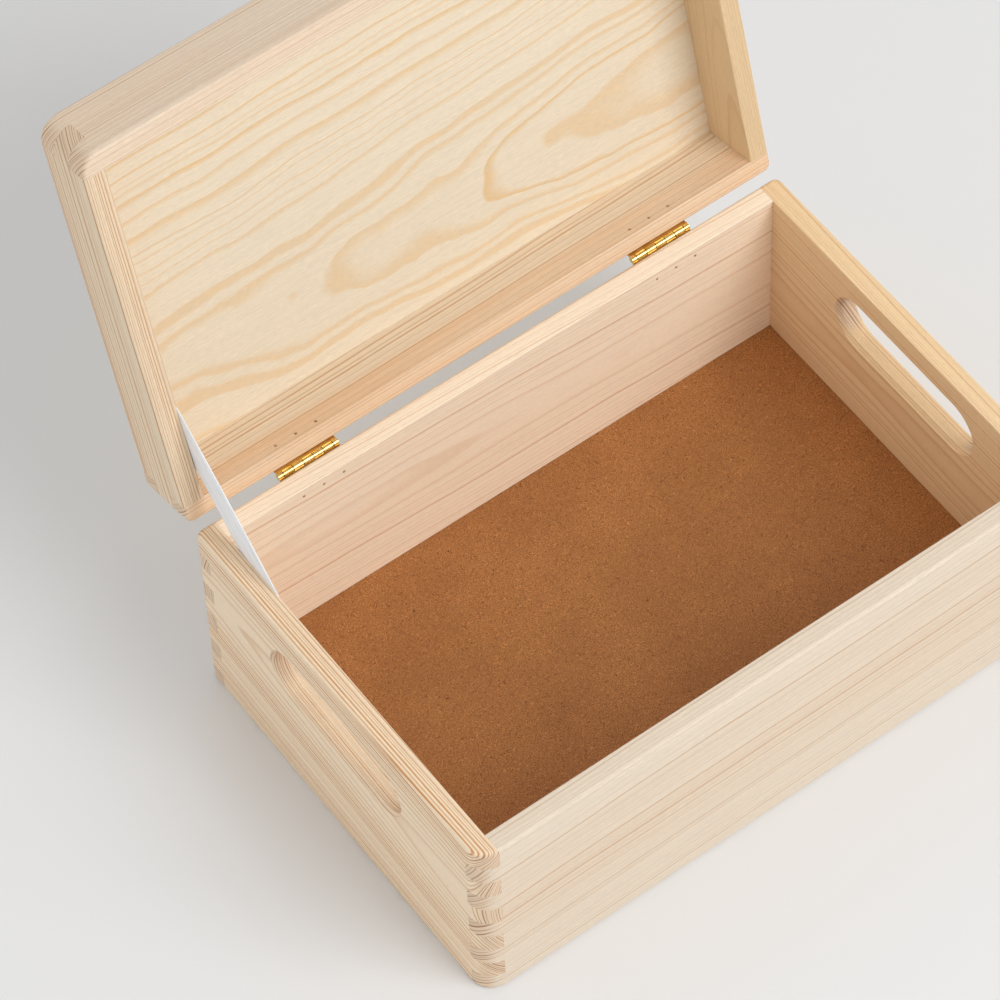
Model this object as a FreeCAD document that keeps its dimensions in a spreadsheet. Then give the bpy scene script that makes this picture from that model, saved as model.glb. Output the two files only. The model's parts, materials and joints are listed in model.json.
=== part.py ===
"""Finger-jointed softwood box: a hinged lid, two hand-hold slots, a hardboard bottom and a ribbon stay.

Lengths are in millimetres and angles in degrees. The box stands on z = 0 with its front towards -y, and the lid is
open, held by its ribbon. The origin lies under the middle of the open box's overall outline.
"""
import FreeCAD
import Part
import Sketcher
import math
import os

SIZES = {
    # The box and the lid, which are sawn apart after the corners are glued.
    "length": 301.2,
    "depth": 196.7,
    "box_height": 107.0,
    "lid_height": 33.2,
    "wall": 9.8,
    "parting_gap": 0.8,
    "open_angle": 105.0,
    # Shaping of the glued carcass.
    "front_corner_radius": 10.0,
    "back_corner_radius": 3.5,
    "base_chamfer": 1.5,
    "lid_round": 2.2,
    "rim_round": 2.2,
    "rim_chamfer": 0.3,
    # Finger joints: courses of fingers from the bottom up.
    "box_courses": 10,
    "lid_courses": 3,
    # Hand-hold slots through the side walls.
    "slot_length": 88.4,
    "left_slot_height": 28.0,
    "left_slot_drop": 30.8,
    "left_slot_offset": 1.6,
    "left_slot_outer_chamfer": 1.5,
    "left_slot_inner_chamfer": 0.4,
    "right_slot_height": 26.8,
    "right_slot_drop": 27.8,
    "right_slot_offset": -1.4,
    "right_slot_outer_chamfer": 1.0,
    "right_slot_inner_chamfer": 2.0,
    # Hardboard bottom in its groove, and the lid panel in its rebate.
    "groove_rise": 14.0,
    "groove_depth": 4.0,
    "bottom_thickness": 3.0,
    "rebate_width": 4.5,
    "lid_panel_thickness": 4.2,
    "panel_clearance": 0.2,
    # Butt hinges on the outside of the back walls.
    "hinge_length": 30.0,
    "hinge_inset": 59.6,
    "hinge_shift": 1.7,
    "axis_offset": 1.7,
    "axis_drop": 0.3,
    "leaf_height": 8.0,
    "leaf_thickness": 0.6,
    "leaf_edge_gap": 0.1,
    "tongue_height": 1.0,
    "barrel_radius": 1.5,
    "pin_radius": 0.75,
    "pin_clearance": 0.04,
    "knuckle_play": 0.12,
    "knuckles": 6,
    # Square hinge brads, driven through to the inside of the back walls.
    "nails_per_leaf": 3,
    "nail_pitch": 10.1,
    "nail_drop": 4.6,
    "nail_width": 1.1,
    "nail_clearance": 0.1,
    "nail_head_width": 2.4,
    "nail_head_height": 0.5,
    "nail_head_chamfer": 0.3,
    "nail_point": 0.3,
    "nail_poke": 0.3,
    # Ribbon stay and its two staples, on the inside of the left walls.
    "ribbon_width": 20.0,
    "ribbon_thickness": 0.5,
    "ribbon_end": 5.0,
    "ribbon_standoff": 0.1,
    "box_staple_back": 35.5,
    "box_staple_drop": 12.6,
    "lid_staple_back": 54.0,
    "lid_staple_depth": 14.5,
    "staple_crown": 10.0,
    "staple_wire": 0.6,
    "staple_leg": 6.0,
    "staple_clearance": 0.05,
    # Working values for cuts and for picking edges.
    "overrun": 5.0,
    "pick_tolerance": 0.001,
}

doc = FreeCAD.newDocument("WoodenBox")
sheet = doc.addObject("Spreadsheet::Sheet", "Sizes")
for row, (alias, number) in enumerate(SIZES.items(), start=1):
    sheet.set(f"A{row}", alias)
    sheet.set(f"B{row}", str(number))
    sheet.setAlias(f"B{row}", alias)
doc.recompute()


def size(expression):
    """Value of an expression in the sheet's names, such as "wall / 2", written with the sheet's prefix."""
    return float(sheet.evalExpression(expression))


def vector(x=0.0, y=0.0, z=0.0):
    """A point or direction."""
    return FreeCAD.Vector(x, y, z)


def moved(x=0.0, y=0.0, z=0.0):
    """A placement that only shifts."""
    return FreeCAD.Placement(vector(x, y, z), FreeCAD.Rotation())


def turned(axis, degrees):
    """A placement that only turns about an axis through the origin."""
    return FreeCAD.Placement(vector(), FreeCAD.Rotation(axis, degrees))


# Sketches and features.

def new_body(label):
    """An empty body."""
    return doc.addObject("PartDesign::Body", label)


def origin_feature(body, role):
    """One of the body's own planes or axes."""
    return next(feature for feature in body.Origin.OriginFeatures if feature.Role == role)


def new_sketch(body, name, role, offset=None):
    """An empty sketch on one of the body's planes, lifted off it by an expression."""
    sketch = body.newObject("Sketcher::SketchObject", name)
    sketch.AttachmentSupport = [(origin_feature(body, role), "")]
    sketch.MapMode = "FlatFace"
    if offset:
        sketch.setExpression("AttachmentOffset.Base.z", offset)
    return sketch


def bind(sketch, expression, kind, *where):
    """One dimension of a sketch, bound to an expression."""
    number = sketch.addConstraint(Sketcher.Constraint(kind, *where, size(expression)))
    name = f"size{number}"
    sketch.renameConstraint(number, name)
    sketch.setExpression(f"Constraints.{name}", expression)


def outline(sketch, corners):
    """A closed outline of straight lines through corners given as pairs of expressions."""
    first = sketch.GeometryCount
    points = [vector(size(x), size(y)) for x, y in corners]
    count = len(points)
    for index, point in enumerate(points):
        sketch.addGeometry(Part.LineSegment(point, points[(index + 1) % count]))
    for index, (x, y) in enumerate(corners):
        line = first + index
        after = first + (index + 1) % count
        sketch.addConstraint(Sketcher.Constraint("Coincident", line, 2, after, 1))
        bind(sketch, x, "DistanceX", -1, 1, line, 1)
        bind(sketch, y, "DistanceY", -1, 1, line, 1)


def rectangle(sketch, left, right, bottom, top):
    """A rectangle between four expressions."""
    outline(sketch, [(left, bottom), (right, bottom), (right, top), (left, top)])


def centred_rectangle(sketch, width, height):
    """A rectangle about the sketch's origin."""
    rectangle(sketch, f"-({width}) / 2", f"({width}) / 2", f"-({height}) / 2", f"({height}) / 2")


def circle(sketch, radius, x="0", y="0"):
    """A circle about a centre given as two expressions."""
    centre = vector(size(x), size(y))
    index = sketch.addGeometry(Part.Circle(centre, vector(z=1), size(radius)))
    bind(sketch, radius, "Radius", index)
    bind(sketch, x, "DistanceX", -1, 1, index, 3)
    bind(sketch, y, "DistanceY", -1, 1, index, 3)


def stadium(sketch, length, height, x, y):
    """A slot with round ends about a centre given as two expressions."""
    radius = f"({height}) / 2"
    reach = f"(({length}) - ({height})) / 2"
    turn = math.pi / 2
    right = vector(size(f"{x} + {reach}"), size(y))
    left = vector(size(f"{x} - {reach}"), size(y))
    up = vector(y=size(radius))
    right_end = sketch.addGeometry(Part.ArcOfCircle(Part.Circle(right, vector(z=1), size(radius)), -turn, turn))
    top = sketch.addGeometry(Part.LineSegment(right + up, left + up))
    left_end = sketch.addGeometry(Part.ArcOfCircle(Part.Circle(left, vector(z=1), size(radius)), turn, 3 * turn))
    bottom = sketch.addGeometry(Part.LineSegment(left - up, right - up))
    for before, after in ((right_end, top), (top, left_end), (left_end, bottom), (bottom, right_end)):
        sketch.addConstraint(Sketcher.Constraint("Tangent", before, 2, after, 1))
    sketch.addConstraint(Sketcher.Constraint("Horizontal", top))
    sketch.addConstraint(Sketcher.Constraint("Horizontal", bottom))
    bind(sketch, radius, "Radius", right_end)
    bind(sketch, f"{x} + {reach}", "DistanceX", -1, 1, right_end, 3)
    bind(sketch, f"{x} - {reach}", "DistanceX", -1, 1, left_end, 3)
    bind(sketch, y, "DistanceY", -1, 1, right_end, 3)


def pad(body, sketch, length, both_ways=False):
    """Adds material along the sketch's normal, or as much to each side of it."""
    feature = body.newObject("PartDesign::Pad", f"{sketch.Name}_pad")
    feature.Profile = sketch
    feature.SideType = "Symmetric" if both_ways else "One side"
    feature.setExpression("Length", length)
    sketch.Visibility = False
    doc.recompute()
    return feature


def pocket(body, sketch, length=None, reverse=False):
    """Cuts against the sketch's normal, along it when reversed, or right through both ways with no length."""
    before = body.Shape.Volume
    feature = body.newObject("PartDesign::Pocket", f"{sketch.Name}_cut")
    feature.Profile = sketch
    if length:
        feature.setExpression("Length", length)
        feature.Reversed = reverse
    else:
        feature.Type = "ThroughAll"
        feature.SideType = "Symmetric"
    doc.recompute()
    if body.Shape.Volume >= before:
        raise RuntimeError(f"{feature.Name} cuts nothing")
    return feature


def repeat(body, feature, axis, length, count):
    """A row of copies of one feature along one of the body's axes."""
    pattern = body.newObject("PartDesign::LinearPattern", f"{feature.Name}_row")
    pattern.Originals = [feature]
    pattern.Direction = (origin_feature(body, axis), [""])
    pattern.setExpression("Length", length)
    pattern.setExpression("Occurrences", count)
    body.Tip = pattern
    doc.recompute()
    return pattern


EDGE_SIZE = {"Fillet": "Radius", "Chamfer": "Size"}


def soften(body, kind, name, amount, chosen):
    """Fillets or chamfers the body's edges whose box and middle point pass a test."""
    base = body.Tip
    names = [f"Edge{number}" for number, edge in enumerate(base.Shape.Edges, start=1)
             if chosen(edge.BoundBox, edge.valueAt((edge.FirstParameter + edge.LastParameter) / 2))]
    feature = body.newObject(f"PartDesign::{kind}", name)
    feature.Base = (base, names)
    feature.setExpression(EDGE_SIZE[kind], amount)
    doc.recompute()
    return feature


def near(first, second):
    """Whether two coordinates are the same."""
    return abs(first - second) < size("Sizes.pick_tolerance")


def level(box, height):
    """Whether an edge lies wholly at one height."""
    return near(box.ZMin, height) and near(box.ZMax, height)


def outside(middle):
    """Whether a point lies out past the inner faces of the walls."""
    slack = size("Sizes.pick_tolerance")
    past_side = abs(middle.x) > size("Sizes.length / 2 - Sizes.wall") + slack
    past_end = abs(middle.y) > size("Sizes.depth / 2 - Sizes.wall") + slack
    return past_side or past_end


# The two trays, each shaped whole as it is after gluing.

INNER_LENGTH = "(Sizes.length - 2 * Sizes.wall)"
INNER_DEPTH = "(Sizes.depth - 2 * Sizes.wall)"


def glued_ring(label, height):
    """Four boards glued in a ring, with the upright corners rounded, the back ones less than the front ones."""
    body = new_body(label)
    plan = new_sketch(body, f"{label}_plan", "XY_Plane")
    centred_rectangle(plan, "Sizes.length", "Sizes.depth")
    centred_rectangle(plan, INNER_LENGTH, INNER_DEPTH)
    pad(body, plan, height)
    for end, sign in (("front", -1), ("back", 1)):
        end_face = sign * size("Sizes.depth / 2")
        soften(body, "Fillet", f"{label}_{end}_corners", f"Sizes.{end}_corner_radius",
               lambda box, middle: near(abs(middle.x), size("Sizes.length / 2"))
               and near(middle.y, end_face) and box.ZLength > box.XLength + box.YLength)
    return body


def soften_rim(body, tray, height):
    """Rounds the outer edges of a tray's rim, and just breaks the inner ones."""
    soften(body, "Fillet", f"{tray}_rim_outer_edges", "min(Sizes.rim_round; Sizes.wall / 3)",
           lambda box, middle: level(box, height) and outside(middle))
    soften(body, "Chamfer", f"{tray}_rim_inner_edges", "min(Sizes.rim_chamfer; Sizes.wall / 3)",
           lambda box, middle: level(box, height) and not outside(middle))


def hand_hold(body, side, sign, faces):
    """Cuts the slot through one side wall and eases its edges on both faces."""
    high = f"Sizes.{side}_slot_height"
    middle_height = f"(Sizes.box_height - Sizes.{side}_slot_drop)"
    slot = new_sketch(body, f"{side}_slot", "YZ_Plane")
    stadium(slot, "Sizes.slot_length", high, f"Sizes.{side}_slot_offset", middle_height)
    pocket(body, slot, "Sizes.length / 2 + Sizes.overrun", reverse=sign > 0)
    foot = size(f"{middle_height} - {high} / 2 - Sizes.pick_tolerance")
    head = size(f"{middle_height} + {high} / 2 + Sizes.pick_tolerance")
    for rim, face in faces.items():
        soften(body, "Chamfer", f"{side}_slot_{rim}_edges", f"min(Sizes.{side}_slot_{rim}_chamfer; Sizes.wall / 3)",
               lambda box, middle: near(box.XLength, 0) and near(middle.x, face) and box.ZMin > foot and box.ZMax < head)


def box_ring():
    """The box's walls: a groove for the bottom, two hand-hold slots and softened edges."""
    body = glued_ring("box_ring", "Sizes.box_height")
    groove = new_sketch(body, "bottom_groove", "XY_Plane", "Sizes.groove_rise")
    centred_rectangle(groove, f"{INNER_LENGTH} + 2 * Sizes.groove_depth", f"{INNER_DEPTH} + 2 * Sizes.groove_depth")
    pocket(body, groove, "Sizes.bottom_thickness + Sizes.panel_clearance", reverse=True)
    half = size("Sizes.length / 2")
    inner_half = size("Sizes.length / 2 - Sizes.wall")
    for side, sign in (("left", -1), ("right", 1)):
        hand_hold(body, side, sign, {"outer": sign * half, "inner": sign * inner_half})
    soften(body, "Chamfer", "box_base_edges", "min(Sizes.base_chamfer; Sizes.wall / 3)",
           lambda box, middle: level(box, 0) and outside(middle))
    soften_rim(body, "box", size("Sizes.box_height"))
    return body


def lid_ring():
    """The lid's walls, rim down: a rebate in the top for the panel and softened edges."""
    body = glued_ring("lid_ring", "Sizes.lid_height")
    rebate = new_sketch(body, "lid_rebate", "XY_Plane", "Sizes.lid_height")
    centred_rectangle(rebate, f"{INNER_LENGTH} + 2 * Sizes.rebate_width", f"{INNER_DEPTH} + 2 * Sizes.rebate_width")
    pocket(body, rebate, "Sizes.lid_panel_thickness")
    height = size("Sizes.lid_height")
    half = size("Sizes.length / 2 - Sizes.front_corner_radius")
    half_depth = size("Sizes.depth / 2 - Sizes.front_corner_radius")
    edge_side = size("Sizes.length / 2 - Sizes.wall + Sizes.rebate_width + Sizes.pick_tolerance")
    edge_end = size("Sizes.depth / 2 - Sizes.wall + Sizes.rebate_width + Sizes.pick_tolerance")
    soften(body, "Fillet", "lid_top_edges", "min(Sizes.lid_round; (Sizes.wall - Sizes.rebate_width) / 2)",
           lambda box, middle: level(box, height) and (abs(middle.x) > edge_side or abs(middle.y) > edge_end
                                                       or (abs(middle.x) > half and abs(middle.y) > half_depth)))
    soften_rim(body, "lid", 0)
    return body


# Finger joints: a comb takes what belongs to a side board, and the front and back boards keep the rest.

def side_comb(label, sign, height, courses):
    """The room that one side board fills, notched at both ends for the other boards' fingers."""
    body = new_body(label)
    plan = new_sketch(body, f"{label}_plan", "XY_Plane", "-Sizes.overrun")
    outer = "(Sizes.length / 2 + Sizes.overrun)"
    inner = "(Sizes.length / 2 - Sizes.wall)"
    ends = "(Sizes.depth / 2 + Sizes.overrun)"
    left, right = (f"-{outer}", f"-{inner}") if sign < 0 else (inner, outer)
    rectangle(plan, left, right, f"-{ends}", ends)
    pad(body, plan, f"{height} + 2 * Sizes.overrun")
    notch = new_sketch(body, f"{label}_notch", "YZ_Plane")
    shoulder = "(Sizes.depth / 2 - Sizes.wall)"
    course = f"({height}) / {courses}"
    far = f"({ends} + Sizes.overrun)"
    rectangle(notch, f"-{far}", f"-{shoulder}", "0", course)
    rectangle(notch, shoulder, far, "0", course)
    cut = pocket(body, notch)
    count = f"ceil({courses} / 2)"
    repeat(body, cut, "Z_Axis", f"2 * {course} * ({count} - 1)", count)
    return body


def zone(label, front):
    """The front or the back half of the room, well clear of the walls."""
    block = doc.addObject("Part::Box", label)
    block.setExpression("Length", "Sizes.length + 2 * Sizes.overrun")
    block.setExpression("Width", "Sizes.depth / 2 + Sizes.overrun")
    block.setExpression("Height", "Sizes.box_height + 2 * Sizes.overrun")
    block.setExpression("Placement.Base.x", "-Sizes.length / 2 - Sizes.overrun")
    block.setExpression("Placement.Base.y", "-Sizes.depth / 2 - Sizes.overrun" if front else "0")
    block.setExpression("Placement.Base.z", "-Sizes.overrun")
    return block


def boolean(kind, label, base, tool):
    """A cut or a common of two objects of the document."""
    feature = doc.addObject(f"Part::{kind}", label)
    feature.Base = base
    feature.Tool = tool
    return feature


def boards(prefix, ring, height, courses, labels):
    """The four boards of one tray, parted along its finger joints."""
    combs = [side_comb(f"{prefix}{side}_comb", sign, height, courses) for side, sign in (("left", -1), ("right", 1))]
    left = boolean("Common", labels["left"], ring, combs[0])
    right = boolean("Common", labels["right"], ring, combs[1])
    both = doc.addObject("Part::MultiFuse", f"{prefix}combs")
    both.Shapes = combs
    rest = boolean("Cut", f"{prefix}front_and_back", ring, both)
    front = boolean("Common", labels["front"], rest, zone(f"{prefix}front_zone", True))
    back = boolean("Common", labels["back"], rest, zone(f"{prefix}back_zone", False))
    doc.recompute()
    return {"left": left, "right": right, "front": front, "back": back}


# Thin panels.

def panel(label, length, depth, thickness, lift):
    """A flat panel that lies at a height in its tray."""
    body = new_body(label)
    plan = new_sketch(body, f"{label}_plan", "XY_Plane", lift)
    centred_rectangle(plan, f"{length} - 2 * Sizes.panel_clearance", f"{depth} - 2 * Sizes.panel_clearance")
    pad(body, plan, thickness)
    return body


# Hinges, drawn about their own axis with the wood at y = -axis_offset and the leaf hanging down.

HINGE_X = {
    -1: "(Sizes.hinge_inset - Sizes.length / 2 - Sizes.hinge_shift)",
    1: "(Sizes.length / 2 - Sizes.hinge_inset - Sizes.hinge_shift)",
}
KNUCKLE = "(Sizes.hinge_length / Sizes.knuckles)"
LEAF_FACE = "(Sizes.leaf_thickness - Sizes.axis_offset)"


def hinge_leaf(label, first_window, windows):
    """A leaf with its rolled knuckles, hollowed where the other leaf's knuckles sit, and punched for its brads."""
    body = new_body(label)
    plate = new_sketch(body, f"{label}_plate", "YZ_Plane")
    outline(plate, [
        ("-Sizes.axis_offset", "-Sizes.leaf_height"),
        (LEAF_FACE, "-Sizes.leaf_height"),
        (LEAF_FACE, "-Sizes.tongue_height"),
        ("0", "-Sizes.tongue_height"),
        ("0", "-Sizes.leaf_edge_gap"),
        ("-Sizes.axis_offset", "-Sizes.leaf_edge_gap"),
    ])
    pad(body, plate, "Sizes.hinge_length", both_ways=True)
    barrel = new_sketch(body, f"{label}_barrel", "YZ_Plane")
    circle(barrel, "Sizes.barrel_radius")
    pad(body, barrel, "Sizes.hinge_length", both_ways=True)
    bore = new_sketch(body, f"{label}_bore", "YZ_Plane")
    circle(bore, "Sizes.pin_radius + Sizes.pin_clearance")
    pocket(body, bore)
    half_window = f"({KNUCKLE} / 2 + Sizes.knuckle_play)"
    window = new_sketch(body, f"{label}_window", "YZ_Plane", f"{first_window} + {half_window}")
    circle(window, "Sizes.barrel_radius + Sizes.knuckle_play")
    cleared = pocket(body, window, f"2 * {half_window}")
    repeat(body, cleared, "X_Axis", f"2 * {KNUCKLE} * ({windows} - 1)", windows)
    hole = new_sketch(body, f"{label}_nail_hole", "XZ_Plane")
    first_nail = "-Sizes.nail_pitch * (Sizes.nails_per_leaf - 1) / 2"
    half_hole = "(Sizes.nail_width / 2 + Sizes.nail_clearance)"
    rectangle(hole, f"{first_nail} - {half_hole}", f"{first_nail} + {half_hole}",
              f"-Sizes.nail_drop - {half_hole}", f"{half_hole} - Sizes.nail_drop")
    punched = pocket(body, hole)
    repeat(body, punched, "X_Axis", "Sizes.nail_pitch * (Sizes.nails_per_leaf - 1)", "Sizes.nails_per_leaf")
    return body


def hinge_pin(label):
    """A straight pin, as long as the hinge."""
    body = new_body(label)
    section = new_sketch(body, f"{label}_section", "YZ_Plane")
    circle(section, "Sizes.pin_radius")
    pad(body, section, "Sizes.hinge_length", both_ways=True)
    return body


def nail_pattern():
    """One square brad: its head rests on y = 0 and its shank runs towards -y."""
    body = new_body("hinge_nail")
    shank_length = "(Sizes.leaf_thickness + Sizes.wall + Sizes.nail_poke)"
    head = new_sketch(body, "nail_head", "XZ_Plane", "-Sizes.nail_head_height")
    centred_rectangle(head, "Sizes.nail_head_width", "Sizes.nail_head_width")
    pad(body, head, "Sizes.nail_head_height")
    shank = new_sketch(body, "nail_shank", "XZ_Plane")
    centred_rectangle(shank, "Sizes.nail_width", "Sizes.nail_width")
    pad(body, shank, shank_length)
    crown = size("Sizes.nail_head_height")
    tip = -size(shank_length)
    soften(body, "Chamfer", "nail_crown", "min(Sizes.nail_head_chamfer; Sizes.nail_head_height / 2)",
           lambda box, middle: near(box.YMin, crown))
    soften(body, "Chamfer", "nail_tip", "min(Sizes.nail_point; Sizes.nail_width / 3)",
           lambda box, middle: near(box.YMax, tip))
    return body


def nail_group(label, nail, height):
    """The nails of both hinges on one tray, as separate solids."""
    face = size("Sizes.depth / 2 + Sizes.leaf_thickness")
    count = int(size("Sizes.nails_per_leaf"))
    solids = []
    for sign in (-1, 1):
        for number in range(count):
            along = size(HINGE_X[sign]) + size("Sizes.nail_pitch") * (number - (count - 1) / 2)
            copy = nail.Shape.copy()
            copy.Placement = moved(along, face, height)
            solids.append(copy)
    group = doc.addObject("Part::Feature", label)
    group.Shape = Part.makeCompound(solids)
    return group


# Ribbon stay and staples, drawn on the wall's inner face at x = 0, with the ribbon's run along y.

def staple(label):
    """A wire staple: its crown lies across the ribbon, and its legs go into the wall."""
    body = new_body(label)
    side = new_sketch(body, f"{label}_side", "XZ_Plane")
    under = "(Sizes.ribbon_standoff + Sizes.ribbon_thickness)"
    over = f"({under} + Sizes.staple_wire)"
    out = "(Sizes.staple_crown / 2)"
    leg = f"({out} - Sizes.staple_wire)"
    foot = "-Sizes.staple_leg"
    outline(side, [
        (over, f"-{out}"), (over, out), (foot, out), (foot, leg),
        (under, leg), (under, f"-{leg}"), (foot, f"-{leg}"), (foot, f"-{out}"),
    ])
    pad(body, side, "Sizes.staple_wire", both_ways=True)
    return body


def ribbon(label, span):
    """The taut tape from staple to staple, pierced by their legs."""
    thickness = size("Sizes.ribbon_thickness")
    width = size("Sizes.ribbon_width")
    end = size("Sizes.ribbon_end")
    standoff = size("Sizes.ribbon_standoff")
    tape = Part.makeBox(thickness, span + 2 * end, width, vector(standoff, -end, -width / 2))
    hole = size("Sizes.staple_wire + 2 * Sizes.staple_clearance")
    leg_middle = size("Sizes.staple_crown / 2 - Sizes.staple_wire / 2")
    for along in (0.0, span):
        for across in (-leg_middle, leg_middle):
            corner = vector(0.0, along - hole / 2, across - hole / 2)
            tape = tape.cut(Part.makeBox(standoff + 2 * thickness, hole, hole, corner))
    feature = doc.addObject("Part::Feature", label)
    feature.Shape = tape
    return feature


# Places: the box's own frame, the lid's frame about the hinge axis, and the stay between them.

open_angle = size("Sizes.open_angle")
lean = math.radians(open_angle)
hinge_y = size("Sizes.depth / 2 + Sizes.axis_offset")
hinge_z = size("Sizes.box_height - Sizes.axis_drop")
rim_lift = size("Sizes.axis_drop + Sizes.parting_gap")
lid_reach = size("Sizes.depth + Sizes.axis_offset")
lid_top = rim_lift + size("Sizes.lid_height")
back_reach = hinge_y - lid_reach * math.cos(lean) + lid_top * math.sin(lean)
box_shift = (back_reach - size("Sizes.depth / 2")) / 2
box_frame = moved(y=-box_shift)
lid_frame = (box_frame * moved(y=hinge_y, z=hinge_z) * turned(vector(x=1), -open_angle)
             * moved(y=-hinge_y, z=rim_lift))

wall_face = size("Sizes.wall - Sizes.length / 2")
box_staple_spot = box_frame * moved(wall_face, size("Sizes.depth / 2 - Sizes.wall - Sizes.box_staple_back"),
                                    size("Sizes.box_height - Sizes.box_staple_drop"))
lid_staple_spot = lid_frame * moved(wall_face, size("Sizes.depth / 2 - Sizes.wall - Sizes.lid_staple_back"),
                                    size("Sizes.lid_staple_depth"))
run = lid_staple_spot.Base - box_staple_spot.Base
slope = turned(vector(x=1), math.degrees(math.atan2(run.z, run.y)))
box_staple_place = moved(*box_staple_spot.Base) * slope
lid_staple_place = moved(*lid_staple_spot.Base) * slope

# Boards, with holes where nails and staples are driven in.

nail = nail_pattern()
box_nail_height = size("Sizes.box_height - Sizes.axis_drop - Sizes.nail_drop")
lid_nail_height = size("Sizes.nail_drop - Sizes.axis_drop - Sizes.parting_gap")
nails = {
    "box": nail_group("box_hinge_nails", nail, box_nail_height),
    "lid": nail_group("lid_hinge_nails", nail, lid_nail_height),
}
nail_holes = {
    "box": nail_group("box_nail_holes", nail, box_nail_height),
    "lid": nail_group("lid_nail_holes", nail, lid_nail_height),
}
staples = {"box": staple("box_ribbon_staple"), "lid": staple("lid_ribbon_staple")}
staple_holes = {}
for tray, frame, place in (("box", box_frame, box_staple_place), ("lid", lid_frame, lid_staple_place)):
    hole = doc.addObject("Part::Feature", f"{tray}_staple_holes")
    hole.Shape = staples[tray].Shape.copy()
    hole.Placement = frame.inverse() * place
    staple_holes[tray] = hole

trays = {
    "box": boards("", box_ring(), "Sizes.box_height", "Sizes.box_courses",
                  {"left": "left_board", "right": "right_wall", "front": "front_wall", "back": "back_board"}),
    "lid": boards("lid_", lid_ring(), "Sizes.lid_height", "Sizes.lid_courses",
                  {"left": "lid_left_board", "right": "lid_right_wall", "front": "lid_front_wall",
                   "back": "lid_back_board"}),
}
subparts = []
for tray, prefix, frame in (("box", "", box_frame), ("lid", "lid_", lid_frame)):
    wood = trays[tray]
    wood["left"] = boolean("Cut", f"{prefix}left_wall", wood["left"], staple_holes[tray])
    wood["back"] = boolean("Cut", f"{prefix}back_wall", wood["back"], nail_holes[tray])
    for board in wood.values():
        board.Placement = frame
        subparts.append(board)
    nails[tray].Placement = frame
    subparts.append(nails[tray])

bottom = panel("bottom_panel", f"{INNER_LENGTH} + 2 * Sizes.groove_depth", f"{INNER_DEPTH} + 2 * Sizes.groove_depth",
               "Sizes.bottom_thickness", "Sizes.groove_rise")
bottom.Placement = box_frame
top = panel("lid_panel", f"{INNER_LENGTH} + 2 * Sizes.rebate_width", f"{INNER_DEPTH} + 2 * Sizes.rebate_width",
            "Sizes.lid_panel_thickness", "Sizes.lid_height - Sizes.lid_panel_thickness")
top.Placement = lid_frame
subparts += [bottom, top]

for side, sign in (("left", -1), ("right", 1)):
    hinge_x = size(HINGE_X[sign])
    box_leaf = hinge_leaf(f"{side}_hinge_box_leaf", f"-2 * {KNUCKLE}", "3")
    box_leaf.Placement = box_frame * moved(hinge_x, hinge_y, hinge_z)
    lid_leaf = hinge_leaf(f"{side}_hinge_lid_leaf", f"-3 * {KNUCKLE}", "4")
    lid_leaf.Placement = lid_frame * moved(hinge_x, hinge_y, -rim_lift) * turned(vector(y=1), 180)
    pin = hinge_pin(f"{side}_hinge_pin")
    pin.Placement = box_frame * moved(hinge_x, hinge_y, hinge_z)
    subparts += [box_leaf, lid_leaf, pin]

staples["box"].Placement = box_staple_place
staples["lid"].Placement = lid_staple_place
stay = ribbon("stay_ribbon", run.Length)
stay.Placement = box_staple_place
subparts += [staples["box"], staples["lid"], stay]
doc.recompute()

for thing in doc.Objects:
    if {"Invalid", "Error"} & set(thing.State):
        raise RuntimeError(f"{thing.Name} failed: {thing.State}")
for subpart in subparts:
    if subpart.Shape.isNull() or not subpart.Shape.isValid():
        raise RuntimeError(f"{subpart.Label} has no valid solid")

os.makedirs("parts", exist_ok=True)
for subpart in subparts:
    subpart.Shape.exportStep(f"parts/{subpart.Label}.step")
    print(subpart.Label, len(subpart.Shape.Solids), round(subpart.Shape.Volume, 1))
print("box stands", round(box_shift, 3), "in front of the origin; ribbon spans", round(run.Length, 2))
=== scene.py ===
"""Looks of the finger-jointed softwood box: wood, hardboard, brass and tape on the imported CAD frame.

Places are in metres in the row frame. A finish measures its figure in millimetres. That of the wood is in
the frame of the board that it covers: u runs along the grain, v up the board from its lower edge, and w out
of its outer face.
"""
import json
import logging
import math
from dataclasses import dataclass, field
from enum import Enum

import bmesh
import bpy
from mathutils import Matrix, Vector

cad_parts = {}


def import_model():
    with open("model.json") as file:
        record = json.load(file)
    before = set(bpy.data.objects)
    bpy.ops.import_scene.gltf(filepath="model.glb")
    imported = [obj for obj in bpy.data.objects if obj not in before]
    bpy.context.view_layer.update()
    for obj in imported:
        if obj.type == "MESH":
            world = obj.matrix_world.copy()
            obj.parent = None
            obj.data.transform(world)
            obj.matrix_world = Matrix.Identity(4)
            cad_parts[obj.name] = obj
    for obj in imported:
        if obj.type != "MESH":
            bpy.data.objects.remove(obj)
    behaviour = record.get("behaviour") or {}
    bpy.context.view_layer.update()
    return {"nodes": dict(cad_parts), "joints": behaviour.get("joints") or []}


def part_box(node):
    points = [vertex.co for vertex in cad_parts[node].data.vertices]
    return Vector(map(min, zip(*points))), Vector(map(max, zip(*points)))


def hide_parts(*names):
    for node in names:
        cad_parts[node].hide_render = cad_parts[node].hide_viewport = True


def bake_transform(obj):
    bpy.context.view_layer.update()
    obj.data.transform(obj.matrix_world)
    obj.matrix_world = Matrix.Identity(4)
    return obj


LOG = logging.getLogger("wooden_box")
MM = 0.001
IMAGE_PIXELS = 1000
Colour = tuple[float, float, float]
Socket = bpy.types.NodeSocket

# Ranges of soft noise, which seldom leaves them
MOST = (0.3, 0.7)
NEARLY_ALL = (0.25, 0.75)
# Keeps the two directions across the grain, or across a pin
ACROSS = (0.0, 1.0, 1.0)


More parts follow.
